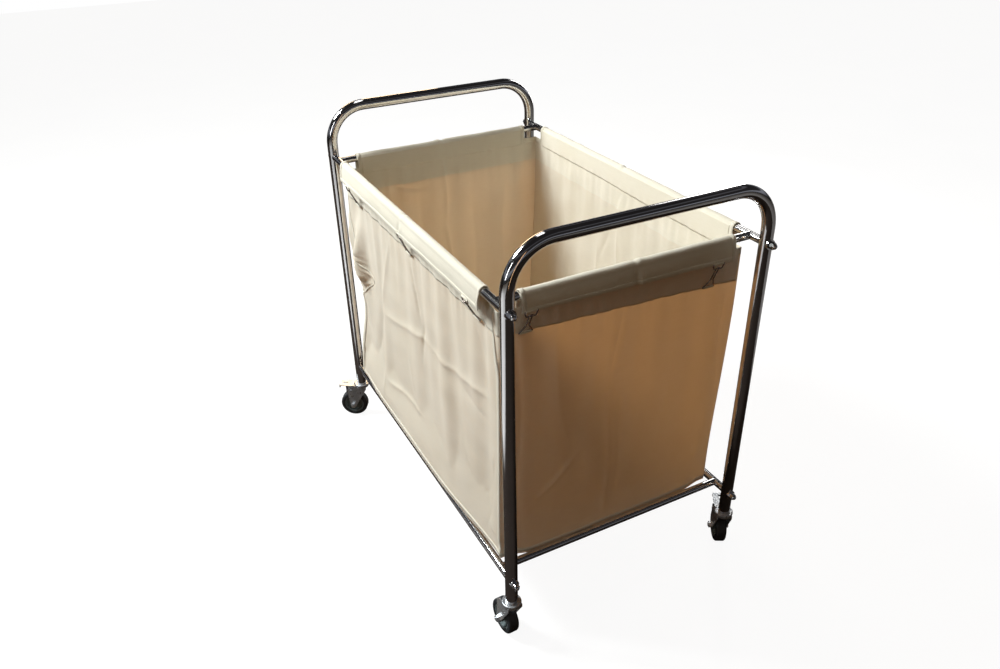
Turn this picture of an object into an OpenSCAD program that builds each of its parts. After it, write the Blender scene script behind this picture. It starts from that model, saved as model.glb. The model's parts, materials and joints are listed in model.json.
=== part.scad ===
// Laundry cart: a canvas bag hung in a bolted stainless tube frame on four swivel casters.
// +Z is up, the cart's length runs along Y and the floor is z = 0.

/* [Frame] */
// Distance between the two end frames, post centre to post centre
frame_length = 900; // [820:10:1000]
// Distance between the two posts of one end frame, centre to centre
frame_width = 545; // [480:5:620]
// Height of the push handle's centreline above the floor
handle_height = 880; // [860:5:960]
// Outside diameter of the end frame tube
post_d = 25.4; // [24:0.1:28]
// Wall thickness of all the tubes
tube_wall = 1.4; // [1:0.1:2]
// Centreline radius of the end frame's bends
bend_radius = 85; // [70:5:100]

/* [Rails] */
// Outside diameter of the long rails and cross rails
rail_d = 16; // [14:1:18]
// Height of the top rails above the floor
top_rail_z = 765; // [740:5:770]
// Height of the bottom rails above the floor
bottom_rail_z = 160; // [150:5:190]
// How far the cross rails sit inboard of the posts
cross_inset = 41; // [36:1:60]
// Diameter of the round bars under the bag
floor_bar_d = 10; // [8:1:12]
// Number of bars under the bag
floor_bar_count = 3; // [2:1:5]

/* [Fasteners] */
// Diameter of the studs that hold the rails to the posts
stud_d = 8; // [6:1:8]
// Width across flats of the acorn nuts
nut_flats = 13; // [12:0.5:14]
// Height of the acorn nuts
nut_height = 14; // [13:0.5:16]
// Diameter of the saddle washers
washer_d = 20; // [18:1:22]

/* [Bag] */
// Thickness of the canvas panels
cloth_t = 3; // [2:0.5:4]
// Height of the flaps folded out over the rails
flap_height = 42; // [38:1:60]
// Gap at each end of a long flap, measured from the cross rail
long_flap_gap = 31; // [5:1:40]
// Gap at each end of an end flap, measured from the long rail
end_flap_gap = 44; // [20:1:60]
// Height of the bag's underside above the floor
bag_floor_z = 170; // [169:1:200]

/* [Clips] */
// Wire diameter of the clips
wire_d = 2.6; // [2:0.2:3]
// Width of a clip
clip_width = 26; // [20:1:32]
// Height of a clip, from its bar in the flap's hem down to its bar on the bag's band
clip_length = 53; // [45:1:60]
// Distance of an end clip from the cart's middle
end_clip_x = 200; // [150:5:210]
// Distance of an outer side clip from the cart's middle
side_clip_y = 315; // [200:5:350]

/* [Casters] */
// Wheel diameter
wheel_d = 75; // [70:1:76]
// Tyre width
tyre_w = 24; // [20:1:26]
// Height of a caster from the floor to the end of the post
caster_height = 104; // [103:1:108]
// Horizontal distance from the swivel axis to the wheel's axle
trail = 26; // [22:1:30]
// Diameter of the swivel cap
cap_d = 40; // [36:1:44]
// Diameter of the wheel's axle bolt
axle_d = 8; // [6:1:8]
// Direction in which the front left caster trails, in degrees from +X
angle_front_left = 92; // [0:1:359]
// Direction in which the front right caster trails
angle_front_right = 60; // [0:1:359]
// Direction in which the rear left caster trails
angle_rear_left = 148; // [0:1:359]
// Direction in which the rear right caster trails
angle_rear_right = 32; // [0:1:359]

/* [Brake] */
// How far the brake pedal reaches from the swivel axis
pedal_reach = 62; // [56:1:66]
// Width of the brake pedal at the swivel
pedal_w = 34; // [30:1:36]
// Thickness of the brake pedal's plate
pedal_t = 2; // [1.5:0.5:2.5]

/* [Hidden] */
$fn = 64;

post_x = frame_width / 2;
post_y = frame_length / 2;
post_r = post_d / 2;
rail_r = rail_d / 2;
rail_bore = rail_d - 2 * tube_wall;
cross_y = post_y - cross_inset;
seat_gap = 0.2;          // room between a coped tube end and the tube that it meets
past = 1;                // how far a cutting shape runs past the surface that it cuts
plug_length = 25;
stud_clearance = 0.4;
washer_face = 1.2;       // thickness of a saddle washer over the crown of the post

side_gap = 1.5;          // room between a rail and the cloth round it
panel_x = post_x - rail_r - side_gap;      // outer face of a side panel
panel_y = cross_y - rail_r - side_gap;     // outer face of an end panel
cloth_top = top_rail_z + rail_r + side_gap;
flap_out = rail_r + side_gap;              // rail centre to the inner face of a flap
clip_r = wire_d / 2;
clip_rise = 12;          // height of a hem ring and of a band ring
hook_gap = 4;            // distance between a hook's two legs and its middle

wheel_r = wheel_d / 2;
tyre_inner_r = wheel_r - 10;
tyre_shoulder = 5;       // radius of the tread's rounded edges
fork_gap = tyre_w / 2 + 2.2;               // fork leg's inner face from the wheel's middle
fork_t = 2.5;
cap_t = 5.5;
crown_t = 3;
swivel_gap = 0.3;
kingpin_r = 6;
running_gap = 0.05;
crown_top = caster_height - cap_t - swivel_gap;
pivot_x = 30;            // brake pedal's pivot, from the swivel axis
pivot_z = 84;
pivot_r = 2.5;
pedal_z = crown_top + 2; // underside of the pedal's plate
ear_t = 2;
pedal_tip_w = pedal_w - 6;
shoe_x = 36.5;           // brake shoe's near face, from the swivel axis
shoe_z = 76;             // brake shoe's underside
shoe_l = 8;

corners = [[-post_x, -post_y], [post_x, -post_y], [-post_x, post_y], [post_x, post_y]];
rail_heights = [top_rail_z, bottom_rail_z];

// How far a tyre, or a brake pedal's tip, reaches from the swivel axis along a direction that makes
// an angle with the cosine c and the sine s with the way the caster trails
function tyre_reach(c, s) =
    trail * c + (wheel_r - tyre_shoulder) * abs(c) + (tyre_w / 2 - tyre_shoulder) * abs(s) + tyre_shoulder;
function pedal_tip_reach(c, s) = pedal_reach * c + pedal_tip_w / 2 * abs(s);

// Outline of the cart, and the shift that puts its middle on the origin
left_reach = pedal_tip_reach(-cos(angle_rear_left), sin(angle_rear_left));
right_reach = tyre_reach(cos(angle_rear_right), sin(angle_rear_right));
rear_reach = pedal_tip_reach(sin(angle_rear_left), cos(angle_rear_left));
front_reach = post_r + washer_face + nut_height;
centre_shift = [(left_reach - right_reach) / 2, (front_reach - rear_reach) / 2, 0];

// A round bar along X, Y or Z with its middle at the origin
module bar_x(d, l) { rotate([0, 90, 0]) cylinder(d = d, h = l, center = true); }
module bar_y(d, l) { rotate([90, 0, 0]) cylinder(d = d, h = l, center = true); }

// A round bar along Y that starts at y = 0 and runs towards +Y
module stub_y(d, l) { rotate([-90, 0, 0]) cylinder(d = d, h = l); }

// Copies of a shape at the eight rail ends, each turned so that +Y points out of the cart
module at_rail_ends() {
    for (z = rail_heights) for (c = corners)
        translate([c[0], c[1], z]) rotate(c[1] < 0 ? 180 : 0) children();
}

// Copies of a shape on the four swivel axes
module at_posts() {
    for (c = corners) translate([c[0], c[1], 0]) children();
}

// The inverted U of an end frame as a solid bar of diameter d, in the XZ plane
module frame_bar(d, foot) {
    post_h = handle_height - bend_radius - foot;
    for (side = [-1, 1]) {
        translate([side * post_x, 0, foot]) cylinder(d = d, h = post_h);
        translate([side * (post_x - bend_radius), 0, handle_height - bend_radius])
            rotate([90, 0, side > 0 ? 0 : 180])
                rotate_extrude(angle = 90) translate([bend_radius, 0]) circle(d = d);
    }
    translate([0, 0, handle_height]) bar_x(d, frame_width - 2 * bend_radius);
}

module end_frame(y) {
    color("gainsboro") translate([0, y, 0]) difference() {
        frame_bar(post_d, caster_height);
        frame_bar(post_d - 2 * tube_wall, caster_height - past);
        for (x = [-post_x, post_x]) for (z = rail_heights)
            translate([x, 0, z]) bar_y(stud_d + stud_clearance, post_d + 2 * past);
    }
}

// A long rail, coped at both ends to sit against the posts
module long_rail(x, z) {
    color("silver") translate([x, 0, z]) difference() {
        bar_y(rail_d, frame_length);
        bar_y(rail_bore, frame_length + 2 * past);
        for (y = [-post_y, post_y])
            translate([0, y, 0]) cylinder(r = post_r + seat_gap, h = 2 * rail_d, center = true);
    }
}

// A cross rail, coped at both ends to sit against the long rails
module cross_rail(y, z) {
    color("silver") translate([0, y, z]) difference() {
        bar_x(rail_d, frame_width);
        bar_x(rail_bore, frame_width + 2 * past);
        for (x = [-post_x, post_x]) translate([x, 0, 0]) bar_y(rail_d + 2 * seat_gap, 2 * rail_d);
    }
}

// Plain bars between the bottom rails, which the bag's underside rests on
module floor_bars() {
    pitch = 2 * cross_y / (floor_bar_count + 1);
    bar_z = bottom_rail_z + rail_r - floor_bar_d / 2;
    color("silver") for (i = [1:floor_bar_count]) translate([0, i * pitch - cross_y, bar_z])
        difference() {
            bar_x(floor_bar_d, frame_width);
            for (x = [-post_x, post_x]) translate([x, 0, bottom_rail_z - bar_z])
                bar_y(rail_d + 2 * seat_gap, 2 * rail_d);
        }
}

// Threaded plugs fixed in the ends of the long rails
module rail_plugs() {
    plug_d = rail_bore - 2 * seat_gap;
    color("darkgray") at_rail_ends() translate([0, -post_r - plug_length - 5, 0]) difference() {
        stub_y(plug_d, plug_length);
        translate([0, -past, 0]) stub_y(stud_d + 2 * running_gap, plug_length + 2 * past);
    }
}

module frame_studs() {
    reach = post_r + washer_face + nut_height / 2;
    grip = post_r + plug_length;
    color("darkgray") at_rail_ends() translate([0, -grip, 0]) stub_y(stud_d, reach + grip);
}

// Round washers hollowed on one side to the curve of the post
module saddle_washers() {
    depth = post_r - sqrt(post_r * post_r - washer_d * washer_d / 4);
    color("lightgray") at_rail_ends() difference() {
        translate([0, post_r - depth, 0]) stub_y(washer_d, depth + washer_face);
        cylinder(r = post_r + seat_gap, h = 2 * washer_d, center = true);
        stub_y(stud_d + stud_clearance, 2 * post_r);
    }
}

// Domed nuts on the outer ends of the studs
module acorn_nuts() {
    dome_r = nut_flats / 2 - 0.8;
    hex_h = nut_height - dome_r;
    color("gainsboro") at_rail_ends() translate([0, post_r + washer_face, 0]) difference() {
        rotate([-90, 0, 0]) union() {
            intersection() {
                cylinder(d = nut_flats / cos(30), h = hex_h, $fn = 6);
                cylinder(d = nut_flats + 1.4, h = hex_h);
            }
            translate([0, 0, hex_h]) sphere(r = dome_r);
        }
        translate([0, -past, 0]) stub_y(stud_d + 2 * running_gap, nut_height / 2 + 2 * past);
    }
}

// Sleeves pressed into the feet of the posts, which the caster stems screw into
module caster_sockets() {
    socket_h = 40;
    color("dimgray") at_posts() translate([0, 0, caster_height]) difference() {
        cylinder(d = post_d - 2 * tube_wall - 2 * seat_gap, h = socket_h);
        translate([0, 0, -past]) cylinder(r = kingpin_r + running_gap, h = socket_h + 2 * past);
    }
}

// Caster stems: the pin that the fork turns on, with a riveted head under the fork's crown
module caster_stems() {
    head_t = 3;
    head_top = crown_top - crown_t - swivel_gap;
    color("darkgray") at_posts() {
        translate([0, 0, head_top - head_t]) cylinder(r = kingpin_r + 3.5, h = head_t);
        translate([0, 0, head_top]) cylinder(r = kingpin_r, h = caster_height + 34 - head_top);
    }
}

// Round caps between the posts and the forks, over the ball races
module swivel_caps() {
    rim_r = 1.5;
    color("lightgray") at_posts() translate([0, 0, caster_height - cap_t]) difference() {
        rotate_extrude() {
            square([cap_d / 2 - rim_r, cap_t]);
            translate([0, rim_r]) square([cap_d / 2, cap_t - 2 * rim_r]);
            for (z = [rim_r, cap_t - rim_r]) translate([cap_d / 2 - rim_r, z]) circle(r = rim_r);
        }
        translate([0, 0, -past]) cylinder(r = kingpin_r + running_gap, h = cap_t + 2 * past);
    }
}

// A side panel of the bag, inside the long rail and between the end panels
module side_panel(side) {
    color("wheat") translate([side > 0 ? panel_x - cloth_t : -panel_x, -panel_y + cloth_t, bag_floor_z])
        cube([cloth_t, 2 * (panel_y - cloth_t), cloth_top - bag_floor_z]);
}

// An end panel of the bag, inside the cross rail
module end_panel(side) {
    color("tan") translate([-panel_x, side > 0 ? panel_y - cloth_t : -panel_y, bag_floor_z])
        cube([2 * panel_x, cloth_t, cloth_top - bag_floor_z]);
}

module bag_floor() {
    color("tan") translate([-panel_x + cloth_t, -panel_y + cloth_t, bag_floor_z])
        cube([2 * (panel_x - cloth_t), 2 * (panel_y - cloth_t), cloth_t]);
}

// A flap along X, folded over a rail whose centre is the origin, hanging on its -Y side
module flap(l) {
    over = flap_out + cloth_t;
    translate([-l / 2, -over, flap_out]) cube([l, 2 * flap_out + cloth_t, cloth_t]);
    translate([-l / 2, -over, flap_out - flap_height]) cube([l, cloth_t, flap_height]);
}

module side_flap(side) {
    color("cornsilk") translate([side * post_x, 0, top_rail_z]) rotate(side * 90)
        flap(2 * (cross_y - rail_r - long_flap_gap));
}

module end_flap(side) {
    color("cornsilk") translate([0, side * cross_y, top_rail_z]) rotate(side > 0 ? 180 : 0)
        flap(2 * (post_x - end_flap_gap));
}

// Copies of a shape at the ten clips: the origin is the rail's centre and -Y points out of the cart
module at_clips() {
    for (side = [-1, 1]) {
        for (x = [-end_clip_x, end_clip_x])
            translate([x, side * cross_y, top_rail_z]) rotate(side > 0 ? 180 : 0) children();
        for (y = [-side_clip_y, 0, side_clip_y])
            translate([side * post_x, y, top_rail_z]) rotate(side * 90) children();
    }
}

// A straight piece of wire between two points
module wire(a, b) {
    d = b - a;
    l = norm(d);
    translate(a) rotate([0, acos(d[2] / l), atan2(d[1], d[0])]) cylinder(r = clip_r, h = l);
}

// A bent wire loop in the XZ plane with rounded corners, w wide and h high
module wire_loop(w, h) {
    bend = 2.5 * clip_r;
    in_x = w / 2 - bend;
    in_z = h / 2 - bend;
    for (side = [-1, 1]) {
        translate([0, 0, side * h / 2]) bar_x(wire_d, 2 * in_x);
        translate([side * w / 2, 0, -in_z]) cylinder(r = clip_r, h = 2 * in_z);
        translate([side * in_x, 0, side * in_z]) wire_bend(bend, side > 0 ? 0 : 180);
        translate([side * in_x, 0, -side * in_z]) wire_bend(bend, side > 0 ? 270 : 90);
    }
}

// A quarter turn of wire in the XZ plane, starting at an angle from +X towards +Z
module wire_bend(r, start) {
    rotate([90, 0, 0]) rotate(start) rotate_extrude(angle = 90) translate([r, 0]) circle(r = clip_r);
}

// Faces that the clips lie on, as distances from the rail's centre
hem_y = -flap_out - cloth_t - clip_r - 0.3;
hem_z = flap_out - flap_height + wire_d - clip_rise / 2;
band_z = hem_z - clip_length + clip_rise;
band_y = flap_out - clip_r - seat_gap;

// Wire loops sewn to the hems of the flaps
module hem_rings() {
    color("silver") at_clips() translate([0, hem_y, hem_z]) wire_loop(clip_width, clip_rise);
}

// Double wires that pull each hem ring towards its band ring
module wire_hooks() {
    top_z = hem_z - clip_rise / 2 - wire_d - 0.3;
    low_z = band_z + clip_rise / 2 + wire_d + 0.3;
    color("silver") at_clips() for (x = [-hook_gap, hook_gap])
        wire([x, hem_y, top_z], [x, band_y, low_z]);
}

// Wire loops sewn to the band of the bag's panels
module band_rings() {
    color("silver") at_clips() translate([0, band_y, band_z]) wire_loop(clip_width, clip_rise);
}

// Puts a caster's own shapes at its corner, turned to the direction in which it trails
module caster(corner, angle) {
    translate([corner[0], corner[1], 0]) rotate(angle) children();
}

// Fork: a crown plate turning on the kingpin, and two legs that carry the axle
module fork(braked) {
    crown_r = 17;
    leg_r = 9;
    wing_x = braked ? 40 : 32;
    color("silver") difference() {
        union() {
            translate([0, 0, crown_top - crown_t]) intersection() {
                union() {
                    cylinder(r = crown_r + 2, h = crown_t);
                    translate([-crown_r + 3, -fork_gap - fork_t, 0])
                        cube([2 * crown_r - 6, 2 * (fork_gap + fork_t), crown_t]);
                }
                cube([4 * crown_r, 4 * crown_r, 3 * crown_t], center = true);
            }
            for (side = [-1, 1]) translate([0, side * (fork_gap + fork_t / 2) + fork_t / 2, 0])
                rotate([90, 0, 0]) linear_extrude(fork_t) {
                    polygon([[-crown_r + 3, crown_top], [-crown_r + 3, crown_top - 8],
                        [trail - leg_r, wheel_r], [trail + leg_r, wheel_r],
                        [wing_x, pivot_z - 10], [wing_x, pivot_z + 5], [22, crown_top]]);
                    translate([trail, wheel_r]) circle(r = leg_r);
                }
        }
        translate([0, 0, crown_top - crown_t - past])
            cylinder(r = kingpin_r + running_gap, h = crown_t + 2 * past);
        translate([trail, 0, wheel_r]) bar_y(axle_d + 2 * running_gap, 4 * fork_gap);
        if (braked) translate([pivot_x, 0, pivot_z])
            bar_y(2 * (pivot_r + running_gap), 4 * fork_gap);
    }
}

// Axle bolt with its hexagon head on one side of the fork
module axle() {
    head_t = 5;
    outer = fork_gap + fork_t;
    color("darkgray") translate([trail, 0, wheel_r]) {
        translate([0, -outer, 0]) stub_y(axle_d, 2 * outer + 8);
        translate([0, -outer - head_t, 0]) rotate([-90, 0, 0])
            cylinder(d = nut_flats / cos(30), h = head_t, $fn = 6);
    }
}

module axle_nut() {
    nut_t = 6.5;
    color("gainsboro") translate([trail, fork_gap + fork_t, wheel_r]) rotate([-90, 0, 0])
        difference() {
            cylinder(d = nut_flats / cos(30), h = nut_t, $fn = 6);
            translate([0, 0, -past]) cylinder(r = axle_d / 2 + running_gap, h = nut_t + 2 * past);
        }
}

// Wheel centre: boss, web and rim, bored for the axle
module hub() {
    bore_r = axle_d / 2 + running_gap;
    boss_r = 10;
    rim_in = tyre_inner_r - 4;
    color("slategray") translate([trail, 0, wheel_r]) rotate([90, 0, 0]) rotate_extrude() {
        translate([bore_r, -fork_gap + 0.8]) square([boss_r - bore_r, 2 * fork_gap - 1.6]);
        translate([boss_r - 0.5, -3]) square([rim_in - boss_r + 1, 6]);
        translate([rim_in, -tyre_w / 2 + 1.5]) square([tyre_inner_r - rim_in - running_gap, tyre_w - 3]);
    }
}

// Solid rubber tyre with rounded shoulders
module tyre() {
    shoulder = tyre_shoulder;
    color("#202022") translate([trail, 0, wheel_r]) rotate([90, 0, 0]) rotate_extrude() {
        translate([tyre_inner_r, -tyre_w / 2]) square([wheel_r - shoulder - tyre_inner_r, tyre_w]);
        translate([tyre_inner_r, -tyre_w / 2 + shoulder])
            square([wheel_r - tyre_inner_r, tyre_w - 2 * shoulder]);
        for (side = [-1, 1]) translate([wheel_r - shoulder, side * (tyre_w / 2 - shoulder)])
            circle(r = shoulder);
    }
}

// Pivot pin of the brake pedal, through both fork legs
module brake_pin() {
    color("darkgray") translate([pivot_x, 0, pivot_z]) {
        bar_y(2 * pivot_r, 2 * (fork_gap + fork_t) + 2);
        for (side = [-1, 1]) translate([0, side * (fork_gap + fork_t + 1.2), 0])
            bar_y(2 * pivot_r + 3, 2);
    }
}

// Brake pedal: a slotted plate with a turned-down lip and two ears on the pivot pin
module brake_pedal() {
    tip_w = pedal_tip_w;
    ear_y = fork_gap - 0.7 - ear_t;
    slot_x = 48;
    lip_drop = 7;
    color("lightgray") difference() {
        union() {
            translate([0, 0, pedal_z]) linear_extrude(pedal_t) difference() {
                polygon([[12, -pedal_w / 2], [40, -pedal_w / 2], [pedal_reach, -tip_w / 2],
                    [pedal_reach, tip_w / 2], [40, pedal_w / 2], [12, pedal_w / 2]]);
                circle(r = cap_d / 2 + 2);
                for (x = [slot_x - 5, slot_x + 5]) translate([x, 0]) circle(r = 2.5);
                translate([slot_x - 5, -2.5]) square([10, 5]);
            }
            translate([pedal_reach - pedal_t, -tip_w / 2, pedal_z - lip_drop])
                cube([pedal_t, tip_w, lip_drop + pedal_t]);
            for (side = [-1, 1]) translate([0, side * (ear_y + ear_t / 2) + ear_t / 2, 0])
                rotate([90, 0, 0]) linear_extrude(ear_t) {
                    translate([pivot_x, pivot_z]) circle(r = 5.5);
                    polygon([[pivot_x - 5.5, pivot_z], [pivot_x - 5.5, pedal_z + pedal_t / 2],
                        [pivot_x + 14, pedal_z + pedal_t / 2], [pivot_x + 5.5, pivot_z]]);
                }
        }
        translate([pivot_x, 0, pivot_z]) bar_y(2 * (pivot_r + running_gap), 4 * fork_gap);
    }
}

// Brake shoe: the block between the pedal's ears that the pedal brings down on the tyre
module brake_shoe() {
    shoe_w = 2 * (fork_gap - 0.7 - ear_t) - 2 * seat_gap;
    color("dimgray") translate([shoe_x, -shoe_w / 2, shoe_z])
        cube([shoe_l, shoe_w, pedal_z - shoe_z]);
}

translate(centre_shift) {
    end_frame(-post_y);  // end_frame_front
    end_frame(post_y);  // end_frame_rear
    long_rail(-post_x, top_rail_z);  // top_rail_left
    long_rail(post_x, top_rail_z);  // top_rail_right
    long_rail(-post_x, bottom_rail_z);  // bottom_rail_left
    long_rail(post_x, bottom_rail_z);  // bottom_rail_right
    cross_rail(-cross_y, top_rail_z);  // top_cross_rail_front
    cross_rail(cross_y, top_rail_z);  // top_cross_rail_rear
    cross_rail(-cross_y, bottom_rail_z);  // bottom_cross_rail_front
    cross_rail(cross_y, bottom_rail_z);  // bottom_cross_rail_rear
    floor_bars();
    rail_plugs();
    frame_studs();
    saddle_washers();
    acorn_nuts();
    caster_sockets();
    caster_stems();
    swivel_caps();
    side_panel(-1);  // bag_left
    side_panel(1);  // bag_right
    end_panel(-1);  // bag_front
    end_panel(1);  // bag_rear
    bag_floor();
    side_flap(-1);  // flap_left
    side_flap(1);  // flap_right
    end_flap(-1);  // flap_front
    end_flap(1);  // flap_rear
    hem_rings();
    wire_hooks();
    band_rings();
    caster(corners[0], angle_front_left) fork(false);  // fork_front_left
    caster(corners[1], angle_front_right) fork(true);  // fork_front_right
    caster(corners[2], angle_rear_left) fork(true);  // fork_rear_left
    caster(corners[3], angle_rear_right) fork(false);  // fork_rear_right
    caster(corners[0], angle_front_left) axle();  // axle_front_left
    caster(corners[1], angle_front_right) axle();  // axle_front_right
    caster(corners[2], angle_rear_left) axle();  // axle_rear_left
    caster(corners[3], angle_rear_right) axle();  // axle_rear_right
    caster(corners[0], angle_front_left) axle_nut();  // axle_nut_front_left
    caster(corners[1], angle_front_right) axle_nut();  // axle_nut_front_right
    caster(corners[2], angle_rear_left) axle_nut();  // axle_nut_rear_left
    caster(corners[3], angle_rear_right) axle_nut();  // axle_nut_rear_right
    caster(corners[0], angle_front_left) hub();  // hub_front_left
    caster(corners[1], angle_front_right) hub();  // hub_front_right
    caster(corners[2], angle_rear_left) hub();  // hub_rear_left
    caster(corners[3], angle_rear_right) hub();  // hub_rear_right
    caster(corners[0], angle_front_left) tyre();  // tyre_front_left
    caster(corners[1], angle_front_right) tyre();  // tyre_front_right
    caster(corners[2], angle_rear_left) tyre();  // tyre_rear_left
    caster(corners[3], angle_rear_right) tyre();  // tyre_rear_right
    caster(corners[1], angle_front_right) brake_pin();  // brake_pin_front_right
    caster(corners[2], angle_rear_left) brake_pin();  // brake_pin_rear_left
    caster(corners[1], angle_front_right) brake_pedal();  // brake_pedal_front_right
    caster(corners[2], angle_rear_left) brake_pedal();  // brake_pedal_rear_left
    caster(corners[1], angle_front_right) brake_shoe();  // brake_shoe_front_right
    caster(corners[2], angle_rear_left) brake_shoe();  // brake_shoe_rear_left
}
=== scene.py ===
import json
import math
import random
import bpy
import numpy as np
from mathutils import Matrix, Vector


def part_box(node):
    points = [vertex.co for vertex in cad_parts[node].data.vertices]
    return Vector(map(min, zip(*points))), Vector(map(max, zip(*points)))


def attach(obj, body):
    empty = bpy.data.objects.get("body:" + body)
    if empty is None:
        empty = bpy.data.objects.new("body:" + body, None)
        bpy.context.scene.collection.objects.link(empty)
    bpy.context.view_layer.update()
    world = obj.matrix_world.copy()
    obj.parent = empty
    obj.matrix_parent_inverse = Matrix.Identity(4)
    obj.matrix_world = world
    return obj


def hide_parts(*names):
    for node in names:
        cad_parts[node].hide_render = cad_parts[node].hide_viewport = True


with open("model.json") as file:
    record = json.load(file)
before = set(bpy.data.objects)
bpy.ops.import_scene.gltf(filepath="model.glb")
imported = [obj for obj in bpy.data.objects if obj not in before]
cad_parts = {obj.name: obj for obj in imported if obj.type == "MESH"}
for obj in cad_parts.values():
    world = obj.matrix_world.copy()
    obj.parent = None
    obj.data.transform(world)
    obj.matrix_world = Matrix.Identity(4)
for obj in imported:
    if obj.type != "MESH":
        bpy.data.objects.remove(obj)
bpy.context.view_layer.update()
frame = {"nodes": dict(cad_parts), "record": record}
nodes = frame["nodes"]
scene = bpy.context.scene
scene.view_settings.view_transform = "Standard"
print("frame loaded,", len(nodes), "nodes")


# small helpers

def centreOf(node):
    low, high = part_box(node)
    return (low + high) / 2


def ramp(low, high, x):
    t = np.clip((x - low) / (high - low), 0, 1)
    return t * t * (3 - 2 * t)


def bumpAt(x, middle, width):
    return np.exp(-((x - middle) / width) ** 2)


def makeObject(name, points, faces, material):
    mesh = bpy.data.meshes.new(name)
    mesh.from_pydata([tuple(p) for p in points], [], [tuple(f) for f in faces])
    mesh.validate()
    mesh.polygons.foreach_set("use_smooth", [True] * len(mesh.polygons))
    made = bpy.data.objects.new(name, mesh)
    scene.collection.objects.link(made)
    if material:
        mesh.materials.append(material)
    return made


def gridFaces(rows, columns, offset=0):
    faces = []
    for row in range(rows - 1):
        for column in range(columns - 1):
            a = offset + row * columns + column
            faces.append((a, a + 1, a + columns + 1, a + columns))
    return faces


def keep(piece, body, slotName, *replaced):
    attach(piece, body)
    if replaced:
        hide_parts(*replaced)
    return piece


# measures taken from the frame, in metres

railLeft, railRight = centreOf("top_rail_left"), centreOf("top_rail_right")
crossRear = centreOf("top_cross_rail_rear")
railRadius = (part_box("top_rail_left")[1].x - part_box("top_rail_left")[0].x) / 2
railZ = railLeft.z
bagMiddle = centreOf("bag_floor")
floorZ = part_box("bag_floor")[0].z
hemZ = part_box("flap_front")[0].z


# materials

def fillRamp(node, stops):
    elements = node.color_ramp.elements
    while len(elements) < len(stops):
        elements.new(1)
    for element, (place, colour) in zip(elements, stops):
        element.position = place
        element.color = (*colour, 1)


class Recipe:
    # a short way to write a node tree: every call adds one node and returns it
    def __init__(self, name):
        self.material = bpy.data.materials.new(name)
        self.material.use_nodes = True
        self.tree = self.material.node_tree
        self.shader = self.tree.nodes["Principled BSDF"]
        self.output = self.tree.nodes["Material Output"]
        self.place = self.tree.nodes.new("ShaderNodeTexCoord").outputs["Object"]

    def link(self, source, target):
        self.tree.links.new(source, target)

    def settings(self, **values):
        for key, value in values.items():
            self.shader.inputs[key.replace("_", " ")].default_value = value

    def stretched(self, scale):
        node = self.tree.nodes.new("ShaderNodeMapping")
        node.inputs["Scale"].default_value = scale
        self.link(self.place, node.inputs["Vector"])
        return node.outputs["Vector"]

    def noise(self, scale, detail=3, roughness=0.5, stretch=None):
        node = self.tree.nodes.new("ShaderNodeTexNoise")
        node.inputs["Scale"].default_value = scale
        node.inputs["Detail"].default_value = detail
        node.inputs["Roughness"].default_value = roughness
        self.link(self.stretched(stretch) if stretch else self.place, node.inputs["Vector"])
        return node.outputs["Fac"]

    def wave(self, axis, scale, distortion=0.6):
        node = self.tree.nodes.new("ShaderNodeTexWave")
        node.bands_direction = axis
        node.inputs["Scale"].default_value = scale
        node.inputs["Distortion"].default_value = distortion
        node.inputs["Detail"].default_value = 1
        self.link(self.place, node.inputs["Vector"])
        return node.outputs["Fac"]

    def maths(self, kind, a, b):
        node = self.tree.nodes.new("ShaderNodeMath")
        node.operation = kind
        for socket, value in zip(node.inputs, (a, b)):
            if isinstance(value, (int, float)):
                socket.default_value = value
            else:
                self.link(value, socket)
        return node.outputs[0]

    def ranged(self, source, low, high, toLow, toHigh):
        node = self.tree.nodes.new("ShaderNodeMapRange")
        for key, value in zip(("From Min", "From Max", "To Min", "To Max"), (low, high, toLow, toHigh)):
            node.inputs[key].default_value = value
        self.link(source, node.inputs["Value"])
        return node.outputs["Result"]

    def colours(self, source, stops):
        node = self.tree.nodes.new("ShaderNodeValToRGB")
        fillRamp(node, stops)
        self.link(source, node.inputs["Fac"])
        return node.outputs["Color"]

    def blended(self, factor, first, second):
        node = self.tree.nodes.new("ShaderNodeMix")
        node.data_type = "RGBA"
        for key, value in ((6, first), (7, second)):
            if isinstance(value, tuple):
                node.inputs[key].default_value = (*value, 1)
            else:
                self.link(value, node.inputs[key])
        if isinstance(factor, (int, float)):
            node.inputs[0].default_value = factor
        else:
            self.link(factor, node.inputs[0])
        return node.outputs[2]

    def bump(self, source, strength, distance, before=None):
        node = self.tree.nodes.new("ShaderNodeBump")
        node.inputs["Strength"].default_value = strength
        node.inputs["Distance"].default_value = distance
        self.link(source, node.inputs["Height"])
        if before:
            self.link(before, node.inputs["Normal"])
        return node.outputs["Normal"]


canvasLook = {
    "pale": (0.84, 0.815, 0.71), "deep": (0.77, 0.735, 0.61),
    "shine": (0.88, 0.38, 0.09), "shineShare": 0.9, "through": 0.19, "doubledThrough": 0.10,
    "threadPitch": 0.0011, "weaveDepth": 0.0004, "slubDepth": 0.0006, "roughness": 0.92, "sheen": 0.25,
}


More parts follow.
